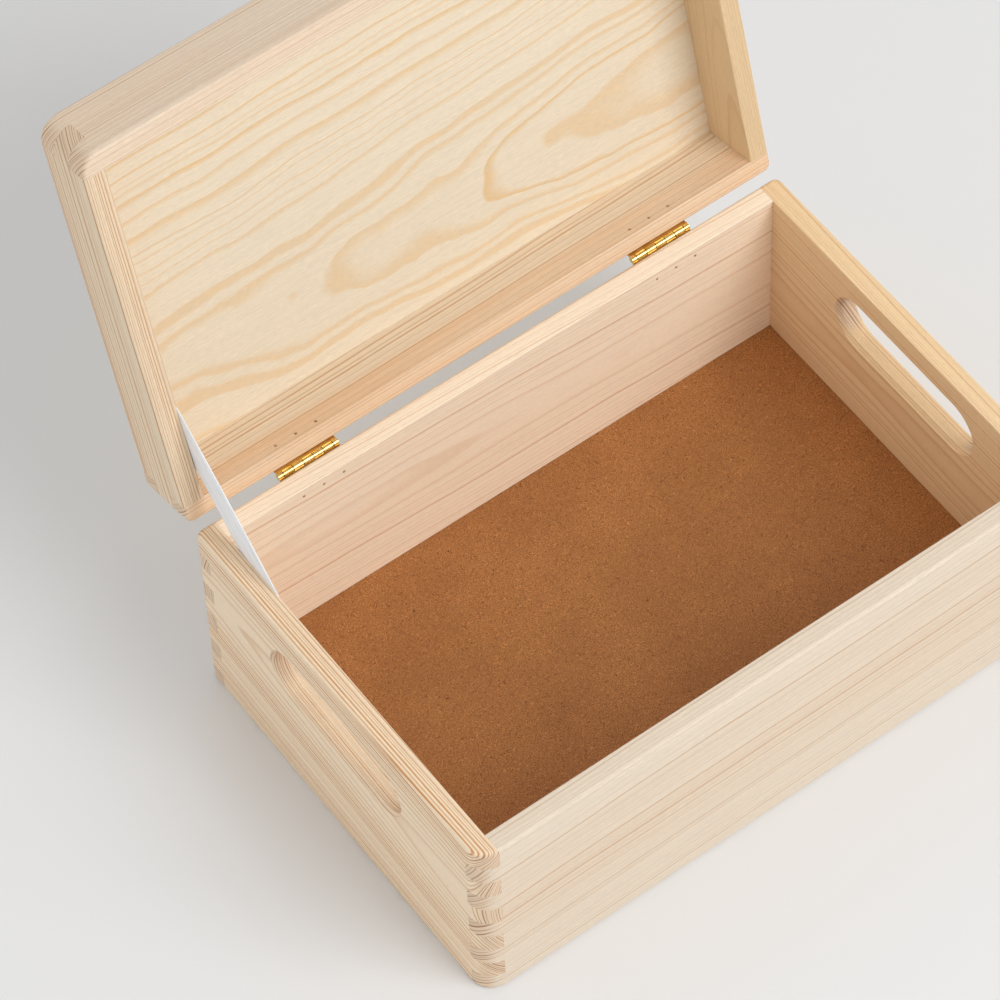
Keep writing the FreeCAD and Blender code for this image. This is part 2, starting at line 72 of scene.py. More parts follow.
def srgb(red: int, green: int, blue: int) -> Colour:
    """Turns display values into the linear values that shaders take.

    Args:
        red: Red from 0 to 255.
        green: Green from 0 to 255.
        blue: Blue from 0 to 255.

    Returns:
        The linear colour.
    """
    def linear(value: int) -> float:
        share = value / 255
        return share / 12.92 if share <= 0.04045 else ((share + 0.055) / 1.055) ** 2.4

    return linear(red), linear(green), linear(blue)


# Shader graphs

class Graph:
    """Short calls that add nodes to a shader tree and join them."""

    def __init__(self, tree: bpy.types.NodeTree) -> None:
        """Starts on a tree.

        Args:
            tree: The tree that takes the nodes.
        """
        self.tree = tree

    def node(self, kind: str, inputs: dict[str, object] | None = None, **settings: object) -> bpy.types.Node:
        """Adds one node.

        Args:
            kind: The node's type, without its ShaderNode prefix.
            inputs: Values or sockets for its inputs, by name.
            settings: Values for its properties.

        Returns:
            The new node.
        """
        node = self.tree.nodes.new(f"ShaderNode{kind}")
        for name, value in settings.items():
            setattr(node, name, value)
        for name, value in (inputs or {}).items():
            self.feed(node.inputs[name], value)
        return node

    def feed(self, target: Socket, value: object) -> None:
        """Links a socket to an input, or sets the input's own value.

        Args:
            target: The input.
            value: A socket, a number, a vector or a colour.
        """
        if isinstance(value, Socket):
            self.tree.links.new(value, target)
        elif target.type == "RGBA":
            target.default_value = (*value, 1.0)
        else:
            target.default_value = value

    def math(self, operation: str, *values: object) -> Socket:
        """Adds a sum on numbers.

        Args:
            operation: The node's operation.
            values: Numbers or sockets.

        Returns:
            The result.
        """
        node = self.node("Math", operation=operation)
        for target, value in zip(node.inputs, values):
            self.feed(target, value)
        return node.outputs[0]

    def vector(self, operation: str, *values: object) -> Socket:
        """Adds a sum on vectors.

        Args:
            operation: The node's operation.
            values: Vectors or sockets, with a scale's number last.

        Returns:
            The result, a number for a length or a dot product.
        """
        node = self.node("VectorMath", operation=operation)
        targets = [node.inputs[0], node.inputs["Scale"]] if operation == "SCALE" else list(node.inputs)
        for target, value in zip(targets, values):
            self.feed(target, value)
        return node.outputs["Value" if operation in ("LENGTH", "DOT_PRODUCT") else "Vector"]

    def split(self, vector: Socket) -> tuple[Socket, Socket, Socket]:
        """Parts a vector.

        Args:
            vector: The vector.

        Returns:
            Its three components.
        """
        node = self.node("SeparateXYZ", {"Vector": vector})
        return node.outputs[0], node.outputs[1], node.outputs[2]

    def noise(self, vector: Socket, detail: float = 2.0, rough: float = 0.5) -> bpy.types.Node:
        """Adds soft noise with about one swell per unit.

        Args:
            vector: Where it is read.
            detail: How many finer layers it has.
            rough: How strong these are.

        Returns:
            The noise node.
        """
        return self.node("TexNoise", {"Vector": vector, "Scale": 1.0, "Detail": detail, "Roughness": rough})

    def fade(self, value: object, start: object, end: object, low: float = 0.0, high: float = 1.0) -> Socket:
        """Eases from one value to another.

        Args:
            value: What it follows.
            start: Where it starts to change.
            end: Where it has changed.
            low: The result up to the start.
            high: The result past the end.

        Returns:
            The eased value.
        """
        node = self.node("MapRange", {"Value": value, "From Min": start, "From Max": end, "To Min": low,
                                      "To Max": high}, interpolation_type="SMOOTHSTEP")
        return node.outputs["Result"]

    def mix(self, share: object, first: object, second: object, blend: str = "MIX") -> Socket:
        """Blends two colours.

        Args:
            share: How much of the second shows.
            first: A colour or socket.
            second: A colour or socket.
            blend: The way they are blended.

        Returns:
            The blended colour.
        """
        node = self.node("Mix", data_type="RGBA", blend_type=blend)
        self.feed(node.inputs["Factor"], share)
        for number, value in ((6, first), (7, second)):
            self.feed(node.inputs[number], value)
        return node.outputs[2]


def node_group(name: str, inputs: dict[str, str], outputs: dict[str, str]) -> bpy.types.NodeTree:
    """Makes an empty shader group with its sockets.

    Args:
        name: The group's name.
        inputs: Socket kinds by name, such as Float, Vector or Color.
        outputs: The same for what it gives.

    Returns:
        The group.
    """
    group = bpy.data.node_groups.new(name, "ShaderNodeTree")
    for way, sockets in (("INPUT", inputs), ("OUTPUT", outputs)):
        for socket, kind in sockets.items():
            group.interface.new_socket(socket, in_out=way, socket_type=f"NodeSocket{kind}")
    return group


def new_material(name: str) -> tuple[bpy.types.Material, Graph, bpy.types.Node]:
    """Makes a material with one Principled shader.

    Args:
        name: The material's name.

    Returns:
        The material, its graph and its shader.
    """
    material = bpy.data.materials.new(name)
    material.use_nodes = True
    graph = Graph(material.node_tree)
    return material, graph, material.node_tree.nodes["Principled BSDF"]


def mapping(graph: Graph, source: Socket, matrix: Matrix, only_turn: bool = False) -> Socket:
    """Takes a place or a direction into another frame.

    Args:
        graph: The graph that takes the node.
        source: The place or direction.
        matrix: The way into the frame, which turns, scales alike in all directions and shifts.
        only_turn: Whether the source is a direction.

    Returns:
        The vector in the new frame.
    """
    shift, turn, scale = matrix.decompose()
    node = graph.node("Mapping", {"Vector": source, "Rotation": turn.to_euler()}, vector_type="POINT")
    if not only_turn:
        node.inputs["Scale"].default_value = scale
        node.inputs["Location"].default_value = shift
    return node.outputs["Vector"]


# Softwood

@dataclass(frozen=True)
class Figure:
    """How a board was sawn from its log, in millimetres.

    Attributes:
        pith: Where the log's middle runs, as v and w at the board's own middle.
        drift: How far that line moves in v and w for each millimetre along the board.
        ring: Width of a year's growth.
        share: How much of a year is late wood, from 0 to 1.
        waver: How far the rings bend out of true.
        swell: Length of such a bend along the grain.
        even: How alike the years are, from 0 to 1.
        bold: How dark the late wood's lines are, where 1 is usual.
        flat: How much of that is left where a ring lies flat in the face.
        zone: Middle and half width, in v, of the stretch that is rosy.
        blush: How rosy it is there, from 0 to 1.
        honey: How golden the whole board is, from 0 to 1.
        pale: How light the board is beside the others, partly its own tone and partly painted light for how
            brightly its faces are lit.
        seed: Which piece of wood this is.
    """

    pith: tuple[float, float]
    drift: tuple[float, float] = (0.0, 0.0)
    ring: float = 1.0
    share: float = 0.35
    waver: float = 1.5
    swell: float = 140.0
    even: float = 0.3
    bold: float = 1.0
    flat: float = 0.4
    zone: tuple[float, float] = (50.0, 80.0)
    blush: float = 0.2
    honey: float = 0.0
    pale: float = 1.0
    seed: float = 0.0


@dataclass(frozen=True)
class Pine:
    """Bare sanded softwood: growth rings through the solid, fine fibres and darker end grain.

    Attributes:
        early: Colour of a year's first growth.
        late: Colour of its last growth.
        rosy: Colour of a blushing stretch.
        honey: Colour of a golden board.
        end_early: Colour of the first growth where it is cut across.
        end_late: Colour of the last growth there.
        soft_edge: Radius by which edges look worn, in metres.
        relief: Height of the sanded grain, in metres.
        sway_pace: Bends of the rings in each millimetre across the grain.
        streak_pace: Broad streaks in each millimetre along u, v and w.
        fibre_pace: Fine fibres in the same way.
        patch_pace: Patches of blush in the same way.
        pore_pace: Pores of the end grain in the same way.
        seed_step: How far the noise of the next seed lies along the board.
        seed_leap: How far that of the slow patterns lies.
        crowding: How many years the rings may crowd together or spread.
        crowding_pace: How often they do so in each year.
        season_end: When in a year the late wood stops, as the start and end of its fading.
    """

    early: Colour = srgb(241, 225, 204)
    late: Colour = srgb(198, 142, 90)
    rosy: Colour = srgb(236, 198, 160)
    honey: Colour = srgb(234, 200, 148)
    end_early: Colour = srgb(228, 201, 171)
    end_late: Colour = srgb(146, 96, 62)
    soft_edge: float = 0.35 * MM
    relief: float = 0.04 * MM
    sway_pace: float = 0.02
    streak_pace: tuple[float, float, float] = (0.05, 1.3, 1.3)
    fibre_pace: tuple[float, float, float] = (0.3, 5.0, 5.0)
    patch_pace: tuple[float, float, float] = (0.006, 0.06, 0.06)
    pore_pace: tuple[float, float, float] = (1.0, 4.0, 4.0)
    seed_step: tuple[float, float, float] = (7.0, 0.0, 0.0)
    seed_leap: tuple[float, float, float] = (31.0, 17.0, 23.0)
    crowding: float = 2.6
    crowding_pace: float = 0.31
    season_end: tuple[float, float] = (0.93, 1.0)

    def figure_group(self) -> bpy.types.NodeTree:
        """Builds the group that works out the wood at a place in a board.

        Returns:
            The group, which gives a colour, a relief and a roughness.
        """
        numbers = ("Ring", "Share", "Waver", "Swell", "Even", "Bold", "Flat", "Blush", "Honey", "Pale",
                   "Seed")
        inputs = dict.fromkeys(("Place", "Facing", "Pith", "Drift", "Zone"), "Vector")
        inputs.update(dict.fromkeys(numbers, "Float"))
        outputs = {"Colour": "Color", "Relief": "Float", "Roughness": "Float"}
        group = node_group("softwood_figure", inputs, outputs)
        graph = Graph(group)
        given = group.nodes.new("NodeGroupInput").outputs
        place = graph.vector("ADD", given["Place"], graph.vector("SCALE", self.seed_step, given["Seed"]))
        leap = graph.vector("SCALE", self.seed_leap, given["Seed"])
        combed = graph.vector("ADD", graph.vector("MULTIPLY", place, self.streak_pace), leap)
        streak = graph.noise(combed, 3.0, 0.65).outputs[0]
        fibre = graph.noise(graph.vector("MULTIPLY", place, self.fibre_pace), 2.0, 0.6).outputs[0]

        radius = self.radius(graph, given, place, leap)
        late, luck = self.late_wood(graph, given, radius)
        vigour = graph.math("MAXIMUM", graph.fade(luck, 0.1, 1.0, 0.12, 1.0), given["Even"])
        strength = graph.math("MULTIPLY", vigour, graph.fade(streak, *NEARLY_ALL, 0.6, 1.15))
        inked = graph.math("MULTIPLY", graph.math("MULTIPLY", late, strength), given["Bold"])
        lying = graph.vector("DOT_PRODUCT", given["Facing"], graph.vector("NORMALIZE", radius))
        softened = graph.fade(graph.math("ABSOLUTE", lying), 0.9, 1.0, 1.0, given["Flat"])
        drawn = graph.math("MINIMUM", graph.math("MULTIPLY", inked, softened), 1.0)

        face = graph.mix(drawn, self.ground(graph, given, place, leap), self.late)
        combing = graph.math("MULTIPLY", graph.fade(fibre, *MOST, 0.91, 1.05),
                             graph.fade(streak, *NEARLY_ALL, 0.94, 1.03))
        # Pale lightens or darkens the whole board: partly its own tone, partly painted light.
        grey = graph.math("MULTIPLY", combing, given["Pale"])
        shade = graph.node("CombineColor", {"Red": grey, "Green": grey, "Blue": grey}).outputs[0]
        face = graph.mix(1.0, face, shade, "MULTIPLY")
        cut_across = graph.fade(graph.math("ABSOLUTE", graph.split(given["Facing"])[0]), 0.3, 0.8)
        results = {
            "Colour": graph.mix(cut_across, face, self.end_grain(graph, place, late, luck)),
            "Relief": graph.math("MULTIPLY_ADD", fibre, 0.6, graph.math("MULTIPLY", drawn, 0.5)),
            "Roughness": graph.math("MULTIPLY_ADD", drawn, -0.08, graph.fade(fibre, *MOST, 0.56, 0.64)),
        }
        given_out = group.nodes.new("NodeGroupOutput")
        for name, value in results.items():
            graph.feed(given_out.inputs[name], value)
        return group

    def radius(self, graph: Graph, given: bpy.types.NodeOutputs, place: Socket, leap: Socket) -> Socket:
        """Works out the way from the pith to a place, bent by slow noise.

        Args:
            graph: The group's graph.
            given: The group's inputs.
            place: The place, moved for the board's seed.
            leap: The seed's shift in the noise.

        Returns:
            The way, at right angles to the grain.
        """
        along = graph.split(given["Place"])[0]
        stretched = graph.math("DIVIDE", 1.0, given["Swell"])
        pace = graph.node("CombineXYZ", {"X": stretched, "Y": self.sway_pace, "Z": self.sway_pace}).outputs[0]
        slow = graph.vector("ADD", graph.vector("MULTIPLY", place, pace), leap)
        bend = graph.vector("SUBTRACT", graph.noise(slow, 3.0, 0.45).outputs["Color"], (0.5, 0.5, 0.5))
        sway = graph.vector("SCALE", bend, graph.math("MULTIPLY", given["Waver"], 2.0))
        centre = graph.vector("ADD", given["Pith"], graph.vector("SCALE", given["Drift"], along))
        offset = graph.vector("SUBTRACT", graph.vector("ADD", given["Place"], sway), centre)
        return graph.vector("MULTIPLY", offset, ACROSS)

    def late_wood(self, graph: Graph, given: bpy.types.NodeOutputs, radius: Socket) -> tuple[Socket, Socket]:
        """Works out the late wood of unevenly spaced years.

        Args:
            graph: The group's graph.
            given: The group's inputs.
            radius: The way from the pith.

        Returns:
            How far a place is in late wood, and the chance value of its year, both from 0 to 1.
        """
        years = graph.math("DIVIDE", graph.vector("LENGTH", radius), given["Ring"])
        paced = graph.math("MULTIPLY_ADD", years, self.crowding_pace, given["Seed"])
        uneven = graph.node("TexNoise", {"W": paced, "Scale": 1.0, "Detail": 2.0},
                            noise_dimensions="1D").outputs[0]
        count = graph.math("MULTIPLY_ADD", uneven, self.crowding, years)
        season = graph.math("FRACT", count)
        year = graph.math("ADD", graph.math("FLOOR", count), given["Seed"])
        luck = graph.node("TexWhiteNoise", {"W": year}, noise_dimensions="1D").outputs
        breadth = graph.fade(graph.split(luck["Color"])[1], 0.0, 1.0, 0.6, 1.5)
        onset = graph.math("SUBTRACT", 0.95, graph.math("MULTIPLY", given["Share"], breadth))
        darkening = graph.fade(season, onset, 0.92)
        ending = graph.fade(season, *self.season_end, 1.0, 0.0)
        return graph.math("MULTIPLY", darkening, ending), luck["Value"]

    def ground(self, graph: Graph, given: bpy.types.NodeOutputs, place: Socket, leap: Socket) -> Socket:
        """Works out the colour between the lines of a face.

        Args:
            graph: The group's graph.
            given: The group's inputs.
            place: The place, moved for the board's seed.
            leap: The seed's shift in the noise.

        Returns:
            The colour, with honey and blush.
        """
        height = graph.split(given["Place"])[1]
        zone_middle, zone_half, _ = graph.split(given["Zone"])
        away = graph.math("DIVIDE", graph.math("SUBTRACT", height, zone_middle), zone_half)
        near = graph.fade(graph.math("ABSOLUTE", away), 0.4, 1.1, 1.0, 0.0)
        drifting = graph.vector("ADD", graph.vector("MULTIPLY", place, self.patch_pace), leap)
        cloud = graph.fade(graph.noise(drifting).outputs[0], 0.25, 0.7, 0.3, 1.0)
        patch = graph.math("MULTIPLY", near, cloud)
        golden = graph.mix(given["Honey"], self.early, self.honey)
        return graph.mix(graph.math("MULTIPLY", patch, given["Blush"]), golden, self.rosy)

    def end_grain(self, graph: Graph, place: Socket, late: Socket, luck: Socket) -> Socket:
        """Works out the colour where the grain is cut across.

        Args:
            graph: The group's graph.
            place: The place, moved for the board's seed.
            late: How far it is in late wood.
            luck: The chance value of its year.

        Returns:
            The colour.
        """
        pores = graph.noise(graph.vector("MULTIPLY", place, self.pore_pace), 2.0, 0.6).outputs[0]
        cut = graph.math("MULTIPLY", late, graph.fade(luck, 0.0, 1.0, 0.6, 1.0))
        sawn = graph.mix(cut, self.end_early, self.end_late)
        return graph.mix(graph.fade(pores, 0.5, 0.75, 0.0, 0.2), sawn, self.end_late)

    def material(self, name: str, group: bpy.types.NodeTree, into_board: Matrix,
                 figure: Figure) -> bpy.types.Material:
        """Makes the finish of one board.

        Args:
            name: The material's name.
            group: The shared figure group.
            into_board: The way from the row frame into the board's frame.
            figure: How the board was sawn.

        Returns:
            The material.
        """
        material, graph, shader = new_material(name)
        spot = graph.node("TexCoord").outputs
        wood = graph.node("Group", node_tree=group)
        values = {name.capitalize(): value for name, value in vars(figure).items()}
        values.update({
            "Place": mapping(graph, spot["Object"], into_board),
            "Facing": mapping(graph, spot["Normal"], into_board, only_turn=True),
            "Pith": (0.0, *figure.pith),
            "Drift": (0.0, *figure.drift),
            "Zone": (*figure.zone, 0.0),
        })
        for socket, value in values.items():
            graph.feed(wood.inputs[socket], value)
        edge = graph.node("Bevel", {"Radius": self.soft_edge}, samples=6)
        bump = graph.node("Bump", {"Height": wood.outputs["Relief"], "Distance": self.relief, "Strength": 0.5,
                                   "Normal": edge.outputs[0]})
        graph.feed(shader.inputs["Base Color"], wood.outputs["Colour"])
        graph.feed(shader.inputs["Roughness"], wood.outputs["Roughness"])
        graph.feed(shader.inputs["Normal"], bump.outputs[0])
        shader.inputs["Specular IOR Level"].default_value = 0.3
        return material


# Other finishes

@dataclass(frozen=True)
class Hardboard:
    """Pressed brown fibre board: even in colour, with fine fibres and a few dark specks.

    Attributes:
        deep: Colour of its hollows.
        warm: Colour of its fine crumbs.
        light: Colour of single fibres.
        speck: Colour of the specks.
        relief: Height of the fibres, in metres.
        warp: How far the patterns are pushed out of true, in millimetres.
        warp_pace: Swells of that in each millimetre.
        crumb_pace: Crumbs in each millimetre.
        fibre_pace: Fibres in each millimetre along them and across them.
        mottle_pace: Clouds in each millimetre.
        speck_pace: Specks in each millimetre.
    """

    deep: Colour = srgb(118, 68, 34)
    warm: Colour = srgb(208, 143, 81)
    light: Colour = srgb(220, 168, 112)
    speck: Colour = srgb(84, 48, 26)
    relief: float = 0.08 * MM
    warp: float = 5.0
    warp_pace: float = 0.25
    crumb_pace: float = 2.2
    fibre_pace: tuple[float, float] = (0.5, 2.6)
    mottle_pace: float = 0.03
    speck_pace: float = 0.22

    def material(self, name: str) -> bpy.types.Material:
        """Makes the finish.

        Args:
            name: The material's name.

        Returns:
            The material.
        """
        material, graph, shader = new_material(name)
        place = graph.vector("SCALE", graph.node("TexCoord").outputs["Object"], 1.0 / MM)
        drift = graph.noise(graph.vector("SCALE", place, self.warp_pace)).outputs["Color"]
        warped = graph.vector("ADD", place, graph.vector("SCALE", drift, self.warp))
        fine = graph.noise(graph.vector("SCALE", warped, self.crumb_pace), 2.0, 0.8).outputs[0]
        slow, fast = self.fibre_pace
        lengthwise, crosswise = (
            graph.noise(graph.vector("MULTIPLY", warped, pace), 2.0, 0.6).outputs[0]
            for pace in ((slow, fast, 1.0), (fast, slow, 1.0)))
        fibres = graph.math("MAXIMUM", lengthwise, crosswise)
        mottle = graph.noise(graph.vector("SCALE", place, self.mottle_pace), 3.0).outputs[0]
        colour = graph.mix(graph.fade(fine, *MOST), self.deep, self.warm)
        colour = graph.mix(graph.fade(fibres, 0.58, 0.8, 0.0, 0.4), colour, self.light)
        colour = graph.mix(graph.fade(mottle, 0.35, 0.65, 0.0, 0.2), colour, self.deep)
        strewn = graph.vector("SCALE", warped, self.speck_pace)
        dots = graph.node("TexVoronoi", {"Vector": strewn, "Scale": 1.0}).outputs["Distance"]
        colour = graph.mix(graph.fade(dots, 0.05, 0.1, 0.7, 0.0), colour, self.speck)
        fuzz = graph.math("ADD", fibres, fine)
        bump = graph.node("Bump", {"Height": fuzz, "Distance": self.relief, "Strength": 0.3})
        graph.feed(shader.inputs["Base Color"], colour)
        graph.feed(shader.inputs["Roughness"], graph.fade(fine, *MOST, 0.52, 0.66))
        graph.feed(shader.inputs["Normal"], bump.outputs[0])
        shader.inputs["Specular IOR Level"].default_value = 0.35
        return material


@dataclass(frozen=True)
class Knuckles:
    """Where the knuckles of a hinge meet, in millimetres.

    Attributes:
        middle: Middle of the pin, which is the middle of a knuckle too.
        pitch: Length of a knuckle.
        seam: Half width of the line of painted shade between two.
        reach: Radius of the barrel, beyond which the leaves are plain.
    """

    middle: Vector
    pitch: float = 5.0
    seam: float = 0.2
    reach: float = 1.6

    def mask(self, graph: Graph, place: Socket) -> Socket:
        """Marks the seams, where shade is painted between the knuckles.

        Args:
            graph: The graph that takes the nodes.
            place: The place in the row frame.

        Returns:
            1 in a seam and 0 elsewhere.
        """
        offset = graph.vector("SUBTRACT", place, tuple(self.middle))
        along = graph.split(offset)[0]
        apart = graph.math("PINGPONG", graph.math("ADD", along, self.pitch / 2), self.pitch / 2)
        out = graph.vector("LENGTH", graph.vector("MULTIPLY", offset, ACROSS))
        rolled = graph.fade(out, self.reach, self.reach + self.seam, 1.0, 0.0)
        return graph.math("MULTIPLY", rolled, graph.fade(apart, self.seam / 2, self.seam, 1.0, 0.0))


@dataclass(frozen=True)
class Metal:
    """Thin rolled or drawn metal with faint tarnish, rubbed streaks and painted shade in its seams.

    Attributes:
        bright: Colour of the clean metal.
        dull: Colour of tarnish.
        grime: Colour of the shade painted into the seams between knuckles.
        polish: Roughness where it is rubbed.
        wear: Roughness elsewhere.
        relief: Height of the streaks, in metres.
        cloud_pace: Clouds of tarnish in each millimetre.
        streak_pace: Streaks in each millimetre along X, Y and Z.
    """

    bright: Colour
    dull: Colour
    grime: Colour
    polish: float
    wear: float
    relief: float = 0.01 * MM
    cloud_pace: float = 0.3
    streak_pace: tuple[float, float, float] = (0.3, 4.0, 4.0)

    def material(self, name: str, knuckles: Knuckles | None = None) -> bpy.types.Material:
        """Makes the finish.

        Args:
            name: The material's name.
            knuckles: The seams of a hinge, if it is on one.

        Returns:
            The material.
        """
        material, graph, shader = new_material(name)
        place = graph.vector("SCALE", graph.node("TexCoord").outputs["Object"], 1.0 / MM)
        cloud = graph.noise(graph.vector("SCALE", place, self.cloud_pace), 2.0).outputs[0]
        streak = graph.noise(graph.vector("MULTIPLY", place, self.streak_pace), 2.0).outputs[0]
        colour = graph.mix(graph.fade(cloud, 0.35, 0.75), self.bright, self.dull)
        if knuckles:
            # Paints shade into the gaps between the knuckles.
            colour = graph.mix(knuckles.mask(graph, place), colour, self.grime)
        graph.feed(shader.inputs["Base Color"], colour)
        graph.feed(shader.inputs["Roughness"], graph.fade(streak, *MOST, self.polish, self.wear))
        bump = graph.node("Bump", {"Height": streak, "Distance": self.relief, "Strength": 0.1})
        graph.feed(shader.inputs["Normal"], bump.outputs[0])
        shader.inputs["Metallic"].default_value = 1.0
        return material


@dataclass(frozen=True)
class Tape:
    """Woven white tape with fine ribs across it.

    Attributes:
        pale: Colour of the raised threads.
        shade: Colour between them.
        rib: Width of a rib, in millimetres.
        relief: Height of the threads, in metres.
        contrast: How far the weave shifts the tone.
        cloud_pace: Clouds in each millimetre across and along it.
    """

    pale: Colour = srgb(247, 247, 247)
    shade: Colour = srgb(232, 232, 234)
    rib: float = 0.55
    relief: float = 0.06 * MM
    contrast: float = 0.18
    cloud_pace: tuple[float, float] = (0.3, 0.05)

    def material(self, name: str) -> bpy.types.Material:
        """Makes the finish, which is read along the tape's own UVs in millimetres.

        Args:
            name: The material's name.

        Returns:
            The material.
        """
        material, graph, shader = new_material(name)
        place = graph.node("TexCoord").outputs["UV"]
        across, along, _ = graph.split(place)
        weft = graph.math("SINE", graph.math("MULTIPLY", along, math.tau / self.rib))
        warp = graph.math("SINE", graph.math("MULTIPLY", across, math.tau / (2 * self.rib)))
        weave = graph.math("MULTIPLY", weft, warp)
        cloud = graph.noise(graph.vector("MULTIPLY", place, (*self.cloud_pace, 1.0)), 3.0).outputs[0]
        tone = graph.math("MULTIPLY_ADD", weave, self.contrast, cloud)
        graph.feed(shader.inputs["Base Color"], graph.mix(graph.fade(tone, 0.3, 0.75), self.pale, self.shade))
        bump = graph.node("Bump", {"Height": weave, "Distance": self.relief, "Strength": 0.5})
        graph.feed(shader.inputs["Normal"], bump.outputs[0])
        graph.feed(shader.inputs["Roughness"], graph.fade(weave, -1.0, 1.0, 0.75, 0.6))
        shader.inputs["Sheen Weight"].default_value = 0.2
        return material


# The object

class Side(Enum):
    """A wall of a tray, with the degrees that its outside is turned from the front."""

    FRONT = 0
    RIGHT = 90
    BACK = 180
    LEFT = 270


@dataclass
class Tray:
    """The four boards of the box or of the lid.

    Attributes:
        prefix: What the tray's node names start with.
        upright: The way from the row frame to where the tray lies level, shut.
        foot: Height of the boards' lower edges there, in metres.
        half_length: From the middle to the outside of a side board.
        half_depth: From the middle to the outside of the front board.
        middle: The tray's middle in plan.
        figures: How each board was sawn.
    """

    prefix: str
    upright: Matrix
    foot: float
    half_length: float
    half_depth: float
    middle: Vector
    figures: dict[Side, Figure]

    def into_board(self, side: Side) -> Matrix:
        """Works out the way from the row frame into a board's frame.

        Args:
            side: Which board.

        Returns:
            The matrix, which gives millimetres.
        """
        reach = self.half_depth if side in (Side.FRONT, Side.BACK) else self.half_length
        turned = Matrix.Rotation(math.radians(-side.value), 4, "Z") @ Matrix.Translation(-self.middle)
        facing = Matrix.Rotation(math.radians(-90), 4, "X")
        stood = Matrix.Translation((0.0, -self.foot, -reach)) @ facing @ turned
        return Matrix.Scale(1.0 / MM, 4) @ stood @ self.upright

    def dress(self, nodes: dict[str, bpy.types.Object], pine: Pine, group: bpy.types.NodeTree) -> None:
        """Gives each board its wood.

        Args:
            nodes: The CAD objects by name.
            pine: The wood.
            group: The wood's shared figure group.
        """
        for side, figure in self.figures.items():
            name = f"{self.prefix}{side.name.lower()}_wall"
            finish = pine.material(f"pine_{name}", group, self.into_board(side), figure)
            cover(nodes[name], finish)


@dataclass
class Stay:
    """The ribbon that holds the lid open.

    Attributes:
        start: Where its lower staple holds it, in metres.
        end: Where its upper staple holds it.
        width: Width of the tape, in metres.
        thickness: Thickness of the tape.
        tail: How far it runs past each staple.
        bow: How far its middle bellies out of true.
        steps: Divisions along it.
        strips: Divisions across it.
        sharp: Angle from which an edge is rounded off.
    """

    start: Vector
    end: Vector
    width: float = 20.0 * MM
    thickness: float = 0.5 * MM
    tail: float = 5.0 * MM
    bow: float = 0.6 * MM
    steps: int = 64
    strips: int = 8
    sharp: float = math.radians(60)

    @property
    def length(self) -> float:
        """Length of the tape from end to end, in metres."""
        return (self.end - self.start).length + 2 * self.tail

    def build(self) -> bpy.types.Object:
        """Models the tape.

        Returns:
            The new piece.
        """
        run = (self.end - self.start).normalized()
        inward = Vector((1.0, 0.0, 0.0))
        sideways = inward.cross(run)
        foot = self.start - run * self.tail
        mesh = bmesh.new()
        bmesh.ops.create_grid(mesh, x_segments=self.strips, y_segments=self.steps, size=1.0)
        woven = mesh.loops.layers.uv.new("tape")
        for face in mesh.faces:
            for loop in face.loops:
                across, share = loop.vert.co.x / 2, (loop.vert.co.y + 1) / 2
                loop[woven].uv = (across * self.width / MM, share * self.length / MM)
        for vert in mesh.verts:
            across = vert.co.x * self.width / 2
            share = (vert.co.y + 1) / 2
            belly = self.bow * math.sin(math.pi * share) ** 2 * (1 - 0.5 * vert.co.x)
            vert.co = foot + run * (share * self.length) + sideways * across + inward * belly
        bmesh.ops.recalc_face_normals(mesh, faces=mesh.faces)
        bmesh.ops.solidify(mesh, geom=mesh.faces, thickness=self.thickness)
        rims = [edge for edge in mesh.edges if edge.is_manifold and edge.calc_face_angle(0.0) > self.sharp]
        bmesh.ops.bevel(mesh, geom=rims, offset=self.thickness / 4, segments=2, profile=0.5, affect="EDGES",
                        material=-1)
        bmesh.ops.recalc_face_normals(mesh, faces=mesh.faces)
        data = bpy.data.meshes.new("ribbon_tape")
        mesh.to_mesh(data)
        mesh.free()
        data.shade_smooth()
        piece = bpy.data.objects.new("ribbon_tape", data)
        bpy.context.scene.collection.objects.link(piece)
        return piece

    def dress(self, piece: bpy.types.Object, tape: Tape) -> None:
        """Gives the tape its finish and hides the CAD's own ribbon.

        Args:
            piece: The tape.
            tape: Its finish.
        """
        cover(piece, tape.material("woven_tape"))
        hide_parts("stay_ribbon")
        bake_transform(piece)
        self.length


def cover(piece: bpy.types.Object, material: bpy.types.Material) -> None:
    """Replaces all the materials of a piece.

    Args:
        piece: The piece.
        material: Its new material.
    """
    if not piece.material_slots:
        piece.data.materials.append(material)
    for slot in piece.material_slots:
        slot.material = material
    LOG.info("%s: %s", piece.name, material.name)


# The studio

@dataclass(frozen=True)
class View:
    """The photograph's camera, fitted to the box's straight edges.

    Attributes:
        eye: Where it stands, in metres.
        azimuth: Degrees that it is turned about Z from looking along +Y.
        elevation: Degrees that it looks down.
        roll: Degrees that it is rolled.
        focal_pixels: Focal length in pixels of the photograph.
        sensor: Width of its sensor, in millimetres.
    """

    eye: Vector = field(default_factory=lambda: Vector((-747.262, -1043.803, 1957.065)) * MM)
    azimuth: float = -34.244
    elevation: float = 55.881
    roll: float = -2.583
    focal_pixels: float = 5470.094
    sensor: float = 36.0

    def build(self) -> None:
        """Adds the camera and makes it the scene's."""
        data = bpy.data.cameras.new("photo_camera")
        data.sensor_width = self.sensor
        data.lens = self.focal_pixels * self.sensor / IMAGE_PIXELS
        camera = bpy.data.objects.new("photo_camera", data)
        bpy.context.scene.collection.objects.link(camera)
        turn = Matrix.Rotation(math.radians(self.azimuth), 4, "Z")
        tilt = Matrix.Rotation(math.radians(90 - self.elevation), 4, "X")
        roll = Matrix.Rotation(math.radians(self.roll), 4, "Z")
        camera.matrix_world = Matrix.Translation(self.eye) @ turn @ tilt @ roll
        bpy.context.scene.camera = camera


